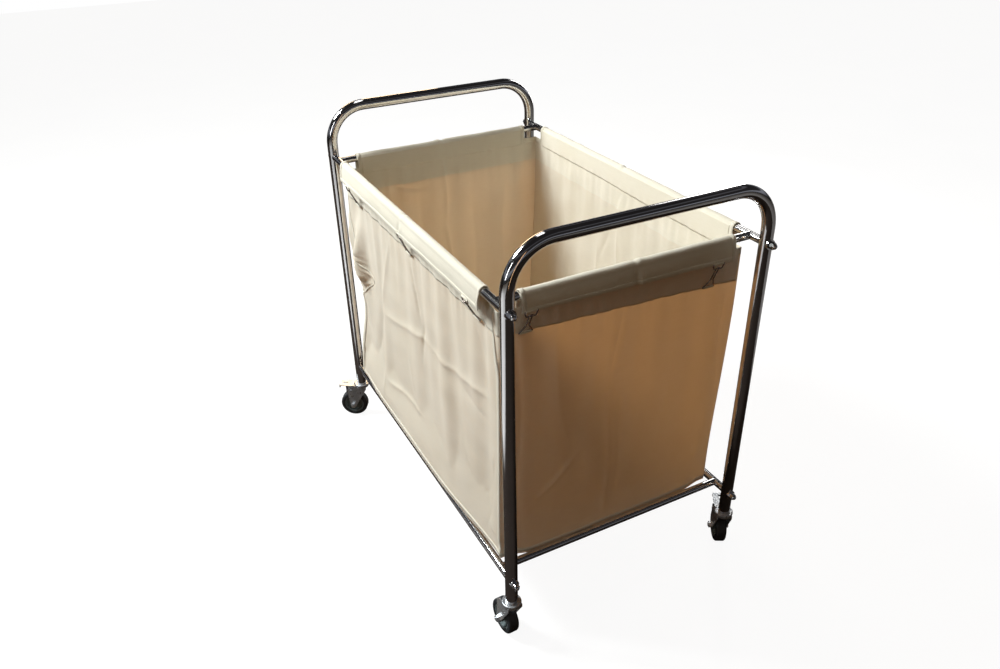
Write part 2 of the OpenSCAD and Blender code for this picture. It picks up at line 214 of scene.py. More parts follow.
def makeCanvas(name, look, through):
    # plain weave: two crossing sets of threads with painted shade between them, slubs, and a warm glow where
    # light comes through
    r = Recipe(name)
    warpWave = 2 * math.pi / look["threadPitch"] / 20  # bands of a wave texture lie 2 pi / (20 x scale) apart
    along = r.maths("MAXIMUM", r.wave("X", warpWave), r.wave("Y", warpWave))
    weave = r.maths("MULTIPLY", r.maths("ADD", along, 0.25), r.maths("ADD", r.wave("Z", warpWave), 0.25))
    slubs = r.noise(60, 4, 0.6, (1, 1, 9))
    cloudy = r.noise(7, 3, 0.55)
    tone = r.maths("ADD", r.maths("MULTIPLY", cloudy, 0.6), r.maths("MULTIPLY", slubs, 0.4))
    colour = r.colours(tone, [(0.3, look["deep"]), (0.7, look["pale"])])
    # painted shade: where the weave is low, between the threads, the colour is blended towards the deep tone
    colour = r.blended(r.ranged(weave, 0, 1.2, 0.22, 0.0), colour, look["deep"])
    r.link(colour, r.shader.inputs["Base Color"])
    r.settings(Roughness=look["roughness"], Specular_IOR_Level=0.2)
    r.settings(Sheen_Weight=look["sheen"], Sheen_Roughness=0.5)
    fine = r.bump(weave, 0.25, look["weaveDepth"])
    normal = r.bump(r.maths("ADD", slubs, r.noise(420, 2)), 0.2, look["slubDepth"], fine)
    r.link(normal, r.shader.inputs["Normal"])
    glow = r.tree.nodes.new("ShaderNodeBsdfTranslucent")
    r.link(r.blended(look["shineShare"], colour, look["shine"]), glow.inputs["Color"])
    r.link(normal, glow.inputs["Normal"])
    mixed = r.tree.nodes.new("ShaderNodeMixShader")
    mixed.inputs[0].default_value = through
    r.link(r.shader.outputs[0], mixed.inputs[1])
    r.link(glow.outputs[0], mixed.inputs[2])
    r.link(mixed.outputs[0], r.output.inputs["Surface"])
    return r.material


# tint, roughness where it is brightest and dullest, and the stretch that turns grain into polishing lines
steelLooks = {
    "postSteel": {"tint": (0.78, 0.77, 0.77), "rough": (0.05, 0.13), "grain": (1, 1, 0.04)},
    "railSteel": {"tint": (0.80, 0.79, 0.78), "rough": (0.06, 0.14), "grain": (1, 0.05, 1)},
    "brightSteel": {"tint": (0.84, 0.84, 0.84), "rough": (0.06, 0.16), "grain": (1, 1, 1)},
    "wireSteel": {"tint": (0.40, 0.34, 0.31), "rough": (0.10, 0.22), "grain": (1, 1, 1)},
}


def makeSteel(name):
    # polished metal: fine lengthwise polishing lines, faint smudges, slightly warm or cool tint
    look = steelLooks[name]
    r = Recipe(name)
    lines = r.noise(140, 3, 0.6, look["grain"])
    smudge = r.noise(9, 3, 0.6)
    mixed = r.maths("ADD", r.maths("MULTIPLY", lines, 0.5), r.maths("MULTIPLY", smudge, 0.5))
    r.link(r.ranged(mixed, 0.3, 0.7, *look["rough"]), r.shader.inputs["Roughness"])
    darker = tuple(0.86 * c for c in look["tint"])
    r.link(r.colours(smudge, [(0.35, darker), (0.65, look["tint"])]), r.shader.inputs["Base Color"])
    r.settings(Metallic=1.0)
    r.link(r.bump(lines, 0.06, 0.0004), r.shader.inputs["Normal"])
    return r.material


zincLook = {"bluish": (0.50, 0.54, 0.59), "grey": (0.70, 0.73, 0.76), "pale": (0.84, 0.84, 0.80),
            "rough": (0.22, 0.42), "metal": 0.72}


def makeZinc():
    # pressed steel with a plated skin: cloudy from bluish to pale, with a fine mottle
    r = Recipe("zincPlate")
    mottle = r.noise(160, 4, 0.65)
    cloudy = r.noise(25, 3, 0.5)
    stops = [(0.3, zincLook["bluish"]), (0.55, zincLook["grey"]), (0.8, zincLook["pale"])]
    r.link(r.colours(cloudy, stops), r.shader.inputs["Base Color"])
    r.settings(Metallic=zincLook["metal"])
    r.link(r.ranged(mottle, 0.3, 0.7, *zincLook["rough"]), r.shader.inputs["Roughness"])
    r.link(r.bump(mottle, 0.12, 0.0005), r.shader.inputs["Normal"])
    return r.material


rubberLook = {"black": (0.018, 0.021, 0.025), "dusty": (0.055, 0.062, 0.07), "rough": (0.45, 0.75)}


def makeRubber():
    # matt black tread with a dusty bloom and scuffs
    r = Recipe("tyreRubber")
    scuff = r.noise(90, 5, 0.7)
    dust = r.noise(30, 3, 0.6)
    r.link(r.colours(dust, [(0.35, rubberLook["black"]), (0.75, rubberLook["dusty"])]),
           r.shader.inputs["Base Color"])
    r.link(r.ranged(scuff, 0.3, 0.7, *rubberLook["rough"]), r.shader.inputs["Roughness"])
    r.link(r.bump(scuff, 0.25, 0.0006), r.shader.inputs["Normal"])
    return r.material


nylonLooks = {
    "greyNylon": {"dark": (0.13, 0.17, 0.18), "light": (0.20, 0.25, 0.26)},
    "blackNylon": {"dark": (0.015, 0.015, 0.017), "light": (0.03, 0.03, 0.032)},
}


def makeNylon(name):
    # moulded plastic with a fine spark-eroded texture
    look = nylonLooks[name]
    r = Recipe(name)
    grain = r.noise(900, 3, 0.6)
    wide = r.noise(40, 2)
    r.link(r.colours(wide, [(0.3, look["dark"]), (0.7, look["light"])]), r.shader.inputs["Base Color"])
    r.link(r.ranged(grain, 0.3, 0.7, 0.38, 0.55), r.shader.inputs["Roughness"])
    r.link(r.bump(grain, 0.15, 0.0003), r.shader.inputs["Normal"])
    return r.material


threadLook = {"dark": (0.66, 0.60, 0.49), "light": (0.86, 0.81, 0.71)}


def makeThread():
    r = Recipe("sewingThread")
    twist = r.noise(1500, 2)
    r.link(r.colours(twist, [(0.3, threadLook["dark"]), (0.7, threadLook["light"])]),
           r.shader.inputs["Base Color"])
    r.settings(Roughness=0.8, Sheen_Weight=0.3)
    r.link(r.bump(twist, 0.3, 0.0002), r.shader.inputs["Normal"])
    return r.material


floorLook = {
    "seen": ((0.14, 0.14, 0.14), (0.16, 0.16, 0.16)), "glow": 0.93, "bounce": (0.085, 0.055, 0.032),
    "dark": (0.036, 0.029, 0.026), "sunny": (0.66, 0.67, 0.70),
    "sunSlant": 0.6, "sunEdge": (0.62, 0.78), "sunEnd": (0.30, 0.15),
    "rightSun": (0.95, 1.05), "rightShare": 0.5,
}


def makeFloorLook():
    # almost white to the eye, brown in the light it throws back, and dark in the chrome with painted sunny
    # patches: painted light that the chrome shows as painted reflections
    look = floorLook
    r = Recipe("studioFloor")
    rays = r.tree.nodes.new("ShaderNodeLightPath")
    seen = rays.outputs["Is Camera Ray"]
    pale = r.colours(r.noise(3, 2), [(0.3, look["seen"][0]), (0.7, look["seen"][1])])
    split = r.tree.nodes.new("ShaderNodeSeparateXYZ")
    r.link(r.place, split.inputs[0])
    x, y = split.outputs["X"], split.outputs["Y"]
    # painted light: sunlit patches painted into the colour that only reflections see, one on the left behind
    # a slanted edge and a strip on the right
    slant = r.maths("SUBTRACT", r.maths("MULTIPLY", y, look["sunSlant"]), x)
    leftPatch = r.maths("MULTIPLY", r.ranged(slant, *look["sunEdge"], 0, 1),
                        r.ranged(y, *look["sunEnd"], 0, 1))
    sunny = r.maths("MAXIMUM", leftPatch, r.ranged(x, *look["rightSun"], 0, look["rightShare"]))
    mirrored = r.blended(sunny, look["dark"], look["sunny"])
    unseen = r.blended(rays.outputs["Is Glossy Ray"], look["bounce"], mirrored)
    r.link(r.blended(seen, unseen, pale), r.shader.inputs["Base Color"])
    r.shader.inputs["Emission Color"].default_value = (1, 1, 1, 1)
    r.link(r.maths("MULTIPLY", seen, look["glow"]), r.shader.inputs["Emission Strength"])
    r.settings(Roughness=0.9, Specular_IOR_Level=0.0)
    return r.material


canvas = makeCanvas("canvas", canvasLook, canvasLook["through"])
canvasDouble = makeCanvas("canvasDoubled", canvasLook, canvasLook["doubledThrough"])
steels = {name: makeSteel(name) for name in steelLooks}
zinc = makeZinc()
rubber = makeRubber()
nylons = {name: makeNylon(name) for name in nylonLooks}
thread = makeThread()

slotLooks = {
    "post_tube": steels["postSteel"], "rail_tube": steels["railSteel"],
    "bright_fastener": steels["brightSteel"], "clip_wire": steels["wireSteel"],
    "zinc_steel": zinc, "canvas": canvas, "tyre_rubber": rubber,
    "grey_plastic": nylons["greyNylon"], "black_plastic": nylons["blackNylon"],
}


def dressFrame():
    slotOf = {s["node"]: s["material_slot"] for s in frame["record"]["subparts"]}
    for name, node in nodes.items():
        node.data.materials.clear()
        node.data.materials.append(slotLooks[slotOf[name]])


dressFrame()
print("materials made")


# the bag: walls and floor are sewn into one cloth, which settles under its own weight

bagShape = {
    "cell": 0.012, "rows": 40, "bandRows": 5, "finer": 3,  # the grid that settles, and its finer cut
    "clothHalf": 0.0016, "seamLift": 0.003, "floorLift": 0.0015,
    "frontDrop": 0.027, "rearDrop": 0.022, "bandDrop": 0.081, "bandLean": (0.005, -0.016),
    "sway": -0.019, "swayFrom": 0.64, "nearHold": 0.65, "waist": 0.0035, "waves": 0.0025,
    "creaseDepth": 1.6, "wrinkles": 0.0007,
    "swell": {"Left": 0.024, "Right": 0.004, "Front": 0.003, "Rear": 0.005}, "loose": {"Left": 0.03},
}

# the left side's two corner seams slide onto it: height, and how far
seamSlips = {
    "far": ((0.42, 0), (0.445, 0.05), (0.50, 0.13), (0.555, 0.04), (0.64, 0.01), (0.70, 0)),
    "near": ((0.60, 0), (0.635, 0.008), (0.67, 0.014), (0.69, 0.019), (0.74, 0.024)),
}

# the far left corner: tucked in, puffed out above that, and a fold of the rear wall that stands past the post
cornerFold = {
    "reach": 0.08, "tuck": (0.38, 0.10), "tuckIn": 0.020, "tuckForward": 0.012,
    "puff": (0.58, 0.07), "puffOut": 0.010, "foot": (0.18, 0.36), "footShare": 0.3,
    "standOut": 0.028, "standFromCorner": 0.068, "standWidth": 0.022, "standReach": 0.06,
    "standFoot": (0.44, 0.51), "standTop": (0.53, 0.68),
}

footTuck = {"drop": 0.0105, "ripple": 0.0016, "out": 0.0012, "fromEnd": 0.035, "corner": 0.05, "fadeUp": 0.08}

# creases left by folding: side, start and end as shares of the panel's width and height, depth, width
creases = [
    ("Left", 0.505, 0.84, 0.53, 0.60, -0.0034, 0.005), ("Left", 0.556, 0.62, 0.545, 0.46, -0.0040, 0.007),
    ("Left", 0.25, 0.47, 0.60, 0.555, 0.0026, 0.010), ("Left", 0.60, 0.555, 0.95, 0.595, 0.0024, 0.010),
    ("Left", 0.33, 0.83, 0.24, 0.48, 0.0020, 0.012), ("Left", 0.24, 0.48, 0.14, 0.20, -0.0018, 0.016),
    ("Left", 0.665, 0.81, 0.685, 0.76, -0.0020, 0.006), ("Left", 0.24, 0.14, 0.53, 0.19, 0.0030, 0.008),
    ("Left", 0.76, 0.55, 0.95, 0.49, -0.0020, 0.018), ("Left", 0.22, 0.03, 0.215, 0.18, 0.0022, 0.010),
    ("Left", 0.57, 0.08, 0.62, 0.02, -0.0024, 0.012), ("Left", 0.94, 0.44, 0.995, 0.43, -0.0026, 0.005),
    ("Left", 0.985, 0.42, 0.965, 0.30, -0.0036, 0.006), ("Left", 0.925, 0.235, 0.89, 0.17, -0.0026, 0.006),
    ("Left", 0.95, 0.24, 0.943, 0.18, -0.0026, 0.005), ("Left", 0.943, 0.14, 0.928, 0.06, -0.0022, 0.007),
    ("Left", 0.88, 0.86, 0.93, 0.60, -0.0016, 0.022), ("Left", 0.42, 0.40, 0.47, 0.22, 0.0020, 0.020),
    ("Front", 0.484, 0.86, 0.458, 0.59, 0.0020, 0.008), ("Front", 0.458, 0.59, 0.455, 0.02, 0.0026, 0.010),
    ("Front", 0.516, 0.54, 0.50, 0.10, -0.0020, 0.010), ("Front", 0.455, 0.628, 0.545, 0.654, -0.0020, 0.004),
    ("Front", 0.88, 0.47, 0.94, 0.46, -0.0016, 0.005), ("Front", 0.336, 0.335, 0.12, 0.185, 0.0030, 0.008),
    ("Front", 0.072, 0.85, 0.075, 0.02, -0.0050, 0.010), ("Front", 0.20, 0.82, 0.29, 0.36, 0.0020, 0.022),
    ("Front", 0.955, 0.80, 0.955, 0.10, 0.0024, 0.009), ("Front", 0.72, 0.60, 0.70, 0.15, 0.0018, 0.030),
    ("Right", 0.485, 0.98, 0.525, 0.86, 0.0026, 0.006), ("Right", 0.50, 0.76, 0.495, 0.05, -0.0026, 0.006),
    ("Right", 0.545, 0.74, 0.60, 0.60, 0.0024, 0.008), ("Right", 0.61, 0.66, 0.62, 0.30, -0.0022, 0.010),
    ("Right", 0.15, 0.75, 0.26, 0.35, 0.0020, 0.020), ("Right", 0.80, 0.72, 0.76, 0.20, 0.0020, 0.022),
    ("Rear", 0.515, 0.97, 0.514, 0.65, -0.0040, 0.008), ("Rear", 0.514, 0.65, 0.49, 0.20, -0.0040, 0.012),
    ("Rear", 0.35, 0.72, 0.37, 0.20, 0.0036, 0.030), ("Rear", 0.19, 0.80, 0.20, 0.20, -0.0034, 0.030),
    ("Rear", 0.82, 0.862, 0.60, 0.826, 0.0030, 0.009), ("Rear", 0.66, 0.80, 0.62, 0.40, 0.0026, 0.025),
]

wallX = railRight.x - bagMiddle.x - railRadius - bagShape["clothHalf"]
wallY = crossRear.y - bagMiddle.y - railRadius - bagShape["clothHalf"]
seamZ = floorZ + bagShape["seamLift"]
bodyTop = railZ - bagShape["frontDrop"]
bandZ = railZ - bagShape["bandDrop"]


def sideOf(name, along, outward, half, out, railNode, flapNode):
    low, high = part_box(flapNode)
    flapEnds = sorted((p - bagMiddle).dot(Vector(along)) for p in (low, high))
    gap = half - flapEnds[1]
    cells = max(1, round(gap / bagShape["cell"]))
    long = round((flapEnds[1] - flapEnds[0]) / bagShape["cell"])
    columns = np.concatenate([np.linspace(-half, flapEnds[0], cells + 1)[:-1],
                              np.linspace(flapEnds[0], flapEnds[1], long + 1),
                              np.linspace(flapEnds[1], half, cells + 1)[1:]])
    return {"name": name, "along": np.array(along, float), "outward": np.array(outward, float),
            "half": half, "out": out, "rail": centreOf(railNode), "flap": flapNode,
            "columns": columns, "cornerCells": cells}


sides = [
    sideOf("Front", (1, 0, 0), (0, -1, 0), wallX, wallY, "top_cross_rail_front", "flap_front"),
    sideOf("Right", (0, 1, 0), (1, 0, 0), wallY, wallX, "top_rail_right", "flap_right"),
    sideOf("Rear", (-1, 0, 0), (0, 1, 0), wallX, wallY, "top_cross_rail_rear", "flap_rear"),
    sideOf("Left", (0, -1, 0), (-1, 0, 0), wallY, wallX, "top_rail_left", "flap_left"),
]


def spotOnWalls(place, u):
    # a point at a distance u along a wall, which runs on round the next corner where u goes past it
    side = sides[place]
    if u > side["half"]:
        after = sides[(place + 1) % 4]
        return after["along"] * (u - side["half"] - after["half"]) + after["outward"] * after["out"]
    return side["along"] * u + side["outward"] * side["out"]


def slipAt(z, end):
    heights, slides = zip(*seamSlips[end])
    return np.interp(z, heights, slides)


def wallGrid(side):
    # rows from the bottom seam to the band, then from the band to the top edge, where the flap starts
    low = seamZ + (bandZ - seamZ) * np.linspace(0, 1, bagShape["rows"] + 1)
    high = bandZ + (bodyTop - bandZ) * np.linspace(0, 1, bagShape["bandRows"] + 1)[1:]
    z = np.concatenate([low, high])
    grid = np.zeros((len(z), len(side["columns"]), 3))
    place = [s["name"] for s in sides].index(side["name"])
    far, near = slipAt(z, "far"), slipAt(z, "near")
    nothing = z * 0
    starts = {"Front": -near, "Left": far}.get(side["name"], nothing)
    ends = {"Rear": far, "Left": -near}.get(side["name"], nothing)
    for i, u in enumerate(side["columns"]):
        # low down a slip fades out over a quarter of the wall, and near the band before the flap starts
        reach = side["half"] * (0.5 - 0.42 * ramp(bandZ - 0.10, bandZ, z))
        moved = (u + starts * np.maximum(0, 1 - (u + side["half"]) / reach)
                 + ends * np.maximum(0, 1 - (side["half"] - u) / reach))
        for j, spot in enumerate(moved):
            if spot < -side["half"]:
                before = sides[place - 1]
                back = spot + side["half"] + before["half"]
                flat = before["along"] * back + before["outward"] * before["out"]
            else:
                flat = spotOnWalls(place, spot)
            grid[j, i] = flat + np.array([bagMiddle.x, bagMiddle.y, 0])
        rear = ramp(-0.1, 0.1, grid[:, i, 1] - bagMiddle.y)
        across = (grid[:, i, 0] - bagMiddle.x) / wallX / 2 + 0.5
        nearness = 0.5 - (grid[:, i, 1] - bagMiddle.y) / wallY / 2
        lean = nearness * (bagShape["bandLean"][0] * (1 - across) + bagShape["bandLean"][1] * across)
        grid[:, i, 2] = (z + rear * (bagShape["frontDrop"] - bagShape["rearDrop"]) * ramp(bandZ, bodyTop, z)
                         + lean * np.interp(z, (seamZ, bandZ, bodyTop), (0, 1, 0)))
    return grid


def floorGrid():
    grid = np.zeros((len(sides[1]["columns"]), len(sides[0]["columns"]), 3))
    grid[..., 0] = bagMiddle.x + sides[0]["columns"][None, :]
    grid[..., 1] = bagMiddle.y + sides[1]["columns"][:, None]
    edge = np.minimum((wallX - abs(sides[0]["columns"]))[None, :],
                      (wallY - abs(sides[1]["columns"]))[:, None])
    lift = bagShape["floorLift"]
    grid[..., 2] = floorZ + lift + (bagShape["seamLift"] - lift) * (1 - ramp(0, 0.035, edge))
    return grid


def weld(grids):
    # one list of points for all the grids, with the points that they share counted once
    index, points, maps = {}, [], []
    for grid in grids:
        flat = grid.reshape(-1, 3)
        ids = np.zeros(len(flat), int)
        for i, p in enumerate(flat):
            key = tuple(np.round(p, 5))
            if key not in index:
                index[key] = len(points)
                points.append(p)
            ids[i] = index[key]
        maps.append(ids.reshape(grid.shape[:2]))
    return np.array(points), maps


settling = {
    "steps": 34, "slack": 0.006, "reach": 0.014, "footReach": 0.0015, "footHeight": 0.16,
    "quality": 6, "mass": 0.35, "stretch": 25, "shear": 8, "bend": 3, "damping": 2.5,
    "boardHalf": (0.4, 0.6), "boardLift": 0.0006, "touch": 0.001,
}


def settleBag(points, maps, pinned):
    faces = []
    for ids in maps:
        a, b, c, d = ids[:-1, :-1], ids[:-1, 1:], ids[1:, 1:], ids[1:, :-1]
        faces += np.stack([a, b, c, d], -1).reshape(-1, 4).tolist()
    bag = makeObject("bagCloth", points, faces, None)
    group = bag.vertex_groups.new(name="pin")
    group.add([int(i) for i in pinned], 1.0, "REPLACE")
    halfX, halfY = settling["boardHalf"]
    boardZ = floorZ + settling["boardLift"]
    board = makeObject("bagBoard", [(x + bagMiddle.x, y + bagMiddle.y, boardZ) for x, y in (
        (-halfX, -halfY), (halfX, -halfY), (halfX, halfY), (-halfX, halfY))], [(0, 1, 2, 3)], None)
    board.modifiers.new("board", "COLLISION")
    board.collision.thickness_outer = settling["touch"]
    cloth = bag.modifiers.new("cloth", "CLOTH")
    cloth.point_cache.frame_end = settling["steps"]
    setting = cloth.settings
    setting.quality = settling["quality"]
    setting.mass = settling["mass"]
    setting.tension_stiffness = setting.compression_stiffness = settling["stretch"]
    setting.shear_stiffness = settling["shear"]
    setting.bending_stiffness = settling["bend"]
    setting.air_damping = settling["damping"]
    setting.shrink_min = -settling["slack"]
    setting.vertex_group_mass = "pin"
    setting.pin_stiffness = 1
    cloth.collision_settings.use_self_collision = False
    cloth.collision_settings.distance_min = settling["touch"]
    for step in range(1, settling["steps"] + 1):
        scene.frame_set(step)
    settled = bag.evaluated_get(bpy.context.evaluated_depsgraph_get()).to_mesh()
    result = np.array([v.co for v in settled.vertices])
    scene.frame_set(1)
    for made in (bag, board):
        bpy.data.objects.remove(made)
    moved = result - points
    # the foot stays where it is tucked against the rails, and the walls move only a little
    far = np.linalg.norm(moved, axis=1)[:, None]
    upward = ramp(seamZ, seamZ + settling["footHeight"], points[:, 2])
    reach = (settling["footReach"] + settling["reach"] * upward)[:, None]
    return points + moved * np.minimum(1, reach / np.maximum(far, 1e-9))


def finer(grid, times):
    # a smooth curve through the grid's points, sampled more finely along both directions
    for axis in (0, 1):
        g = np.moveaxis(grid, axis, 0)
        padded = np.concatenate([2 * g[:1] - g[1:2], g, 2 * g[-1:] - g[-2:-1]])
        out = []
        for i in range(len(g) - 1):
            p0, p1, p2, p3 = padded[i:i + 4]
            for k in range(times):
                t = k / times
                out.append(0.5 * (2 * p1 + (p2 - p0) * t + (2 * p0 - 5 * p1 + 4 * p2 - p3) * t ** 2
                                  + (3 * p1 - p0 - 3 * p2 + p3) * t ** 3))
        out.append(g[-1])
        grid = np.moveaxis(np.array(out), 0, axis)
    return grid


def outwardNormals(grid):
    across = np.gradient(grid, axis=1)
    up = np.gradient(grid, axis=0)
    n = np.cross(across, up)
    return n / np.maximum(np.linalg.norm(n, axis=-1, keepdims=True), 1e-12)


def softNoise(seed, x, y, scale):
    # a few seeded sine waves in different directions, from -1 to 1
    picker = random.Random(seed)
    total = 0
    for _ in range(7):
        angle, phase = picker.uniform(0, math.pi), picker.uniform(0, 6.28)
        k = picker.uniform(0.6, 1.6) * 2 * math.pi / scale
        total = total + np.sin(k * (x * math.cos(angle) + y * math.sin(angle)) + phase)
    return total / 4


def creaseDepth(side, x, y):
    width, height = 2 * side["half"], railZ - seamZ
    depth = np.zeros_like(x)
    for name, x0, y0, x1, y1, deep, wide in creases:
        if name != side["name"]:
            continue
        start = np.array([(x0 - 0.5) * width, y0 * height])
        way = np.array([(x1 - 0.5) * width, y1 * height]) - start
        length = np.hypot(*way)
        way = way / length
        along = (x - start[0]) * way[0] + (y - start[1]) * way[1]
        bent = 0.006 * np.sin(along * 17 + deep * 4000)
        across = (x - start[0]) * way[1] - (y - start[1]) * way[0] + bent
        fade = ramp(-0.02, 0.05, along) * (1 - ramp(length - 0.06, length + 0.02, along))
        sharp = np.exp(-abs(across) / wide) - 0.45 * np.exp(-(across / (3 * wide)) ** 2)
        depth += deep * fade * sharp
    return depth


def hangLoose(points):
    # the foot of the bag is pushed to the left, the far left corner is tucked in, and clips draw in the walls
    x, y, z = points[:, 0] - bagMiddle.x, points[:, 1] - bagMiddle.y, points[:, 2]
    low = 1 - ramp(seamZ, bagShape["swayFrom"], z)
    leftness = ramp(-wallX, wallX, -x)
    fromNear = ramp(-wallY, -wallY + 0.30, y)
    sway = bagShape["sway"] * low ** 0.8 * (1 - leftness * (1 - fromNear) * bagShape["nearHold"])
    fold = cornerFold
    corner = np.exp(-((x + wallX) ** 2 + (y - wallY) ** 2) / fold["reach"] ** 2)
    tuck = bumpAt(z, *fold["tuck"]) * corner
    puff = bumpAt(z, *fold["puff"]) * corner
    farFoot = fold["footShare"] * corner * (1 - ramp(*fold["foot"], z))
    waist = bagShape["waist"] * bumpAt(z, bandZ + 0.004, 0.045)
    onSide = ramp(wallX - 0.01, wallX - 0.004, abs(x)) * ramp(0, 0.07, wallY - abs(y))
    onEnd = ramp(wallY - 0.01, wallY - 0.004, abs(y)) * ramp(0, 0.07, wallX - abs(x))
    points[:, 0] += (sway + fold["tuckIn"] * tuck - fold["puffOut"] * puff + fold["tuckIn"] * farFoot
                     - np.sign(x) * waist * onSide)
    points[:, 1] -= fold["tuckForward"] * tuck + np.sign(y) * waist * onEnd


def standFold(points):
    # cloth of the rear wall stands out past the far left post in a soft fold
    x, y, z = points[:, 0] - bagMiddle.x, points[:, 1] - bagMiddle.y, points[:, 2]
    fold = cornerFold
    stand = (bumpAt(y, wallY - fold["standFromCorner"], fold["standWidth"])
             * ramp(*fold["standFoot"], z) * (1 - ramp(*fold["standTop"], z)))
    points[:, 0] -= fold["standOut"] * stand * (x < -wallX + fold["standReach"])


bagFloor = floorGrid()
bagWalls = [wallGrid(s) for s in sides]
bagPoints, bagMaps = weld(bagWalls + [bagFloor])
for wall, side, seed in zip(bagMaps, sides, (3, 8, 5, 11)):
    inner = wall[:-2]
    spots = bagPoints[inner]
    along = (spots - np.array(bagMiddle)) @ side["along"]
    waves = bagShape["waves"] * softNoise(seed, along, spots[..., 2], 0.28)
    fromEdge = np.minimum(side["half"] - abs(along), spots[..., 2] - seamZ)
    bagPoints[inner] += waves[..., None] * side["outward"] * ramp(0, 0.05, fromEdge)[..., None]
hangLoose(bagPoints)
hung = np.unique(np.concatenate([m[-1, s["cornerCells"]:-s["cornerCells"]] for m, s in zip(bagMaps, sides)]))
bagPoints = settleBag(bagPoints, bagMaps, hung)
standFold(bagPoints)
print("bag settled")


def tucked(grid):
    # at the two ends the foot drops a little, into the gap between the bag and the cross rail
    x, y = grid[..., 0] - bagMiddle.x, grid[..., 1] - bagMiddle.y
    end = 1 - ramp(0, footTuck["fromEnd"], wallY - abs(y))
    clear = ramp(0.0, footTuck["corner"], wallX - 0.02 - abs(x + 0.01))
    near = end * clear * (1 - ramp(seamZ, seamZ + footTuck["fadeUp"], grid[..., 2]))
    grid[..., 2] -= near * (footTuck["drop"] + footTuck["ripple"] * softNoise(17, x, x * 0, 0.16))
    grid[..., 1] += near * np.sign(y) * footTuck["out"]
    return grid


def finishedWall(side, ids, seed):
    grid = finer(bagPoints[ids], bagShape["finer"])
    middle = np.array(bagMiddle)
    x = (grid - middle) @ side["along"]
    y = grid[..., 2] - seamZ
    edge = np.minimum(side["half"] - abs(x), np.minimum(y, bodyTop - grid[..., 2]))
    push = bagShape["creaseDepth"] * creaseDepth(side, x, y)
    push = push + bagShape["wrinkles"] * softNoise(seed, x, y, 0.09)
    grid = grid + outwardNormals(grid) * (push * ramp(0.0, 0.03, edge))[..., None]
    out = (grid - middle) @ side["outward"]
    free = ramp(bodyTop, bodyTop - 0.10, grid[..., 2])
    most = side["out"] + bagShape["swell"][side["name"]] * free + bagShape["loose"].get(side["name"], 0)
    grid = grid - side["outward"] * np.maximum(out - most, 0)[..., None]
    grid[..., 2] = np.maximum(grid[..., 2], floorZ + 0.001)
    return tucked(grid)


flapShape = {
    "riseRows": 6, "railRows": 14, "hangRows": 12, "flare": 0.0034, "bulge": 0.0016,
    "hemLean": {"Front": -0.0055}, "hemSink": 0.001, "sag": 0.0012, "wave": 0.0011,
    "railLift": 0.0008, "railWave": 0.0007, "pinches": ((0.004, 0.006, -0.0032), (0.014, 0.007, 0.0024)),
}


def flapGrid(side, topRow, seed):
    # from the wall's top edge up past the rail's inner side, over the rail and down to the hem
    shape = flapShape
    radius = railRadius + bagShape["clothHalf"]
    middle = np.array(bagMiddle)
    u = (topRow - middle) @ side["along"]
    start = (np.array(side["rail"]) - middle) @ side["outward"]
    firstOut = (topRow - middle) @ side["outward"]
    rows = []
    pinch = sum(deep * bumpAt(u, place, width) for place, width, deep in shape["pinches"])
    for k in range(1, shape["riseRows"] + 1):
        share = k / shape["riseRows"]
        rows.append((firstOut + (start - radius - firstOut) * share,
                     topRow[:, 2] + (railZ - topRow[:, 2]) * share, u))
    for k in range(1, shape["railRows"] + 1):
        angle = math.pi * (1 - k / shape["railRows"])
        soft = shape["railWave"] * softNoise(seed, u, u * 0, 0.11) + shape["railLift"] + pinch * 0.6
        grown = radius + soft * math.sin(angle)
        rows.append((start + grown * math.cos(angle), railZ + grown * math.sin(angle), u))
    drop = railZ - hemZ
    for k in range(1, shape["hangRows"] + 1):
        share = k / shape["hangRows"]
        wave = shape["wave"] * softNoise(seed + 1, u, u * 0 + share * 0.05, 0.16)
        sag = shape["sag"] * softNoise(seed + 2, u, u * 0, 0.30) * share
        sag = sag + (shape["hemLean"].get(side["name"], 0) * u / side["half"] - shape["hemSink"]) * share
        bulge = shape["bulge"] * math.sin(math.pi * share)
        rows.append((start + radius + shape["flare"] * share + bulge + (wave + pinch) * ramp(0, 0.6, share),
                     railZ - drop * share + sag, u))
    grid = np.zeros((len(rows), len(u), 3))
    for i, (out, z, along) in enumerate(rows):
        grid[i] = middle + side["along"] * along[:, None] + side["outward"] * np.reshape(out, (-1, 1))
        grid[i, :, 2] = z
    return grid


def gridPiece(name, grid, material):
    return makeObject(name, grid.reshape(-1, 3), gridFaces(*grid.shape[:2]), material)


def makePanel(side, ids, seed):
    # a wall with its flap as one piece of cloth
    wall = finishedWall(side, ids, seed)
    gap = side["cornerCells"] * bagShape["finer"]
    flap = flapGrid(side, wall[-1, gap:-gap], seed)
    rows, columns = wall.shape[:2]
    bandRow = bagShape["rows"] * bagShape["finer"]
    faces = gridFaces(rows, columns)
    doubled = [f[0] // columns >= bandRow for f in faces]
    count = rows * columns
    inFlap = columns - 2 * gap
    points = np.concatenate([wall.reshape(-1, 3), flap.reshape(-1, 3)])
    lines = [[(rows - 1) * columns + gap + i for i in range(inFlap)]]
    lines += [[count + r * inFlap + i for i in range(inFlap)] for r in range(len(flap))]
    for lower, upper in zip(lines, lines[1:]):
        for i in range(inFlap - 1):
            faces.append((lower[i], lower[i + 1], upper[i + 1], upper[i]))
            doubled.append(True)
    piece = makeObject("bagPanel" + side["name"], points, faces, canvas)
    piece.data.materials.append(canvasDouble)
    piece.data.polygons.foreach_set("material_index", [int(d) for d in doubled])
    keep(piece, "frame", "canvas", "bag_" + side["name"].lower(), side["flap"])
    full = np.concatenate([wall[:, gap:-gap], flap])
    return {"side": side, "piece": piece, "wall": wall, "flap": flap, "full": full,
            "gap": gap, "bandRow": bandRow}


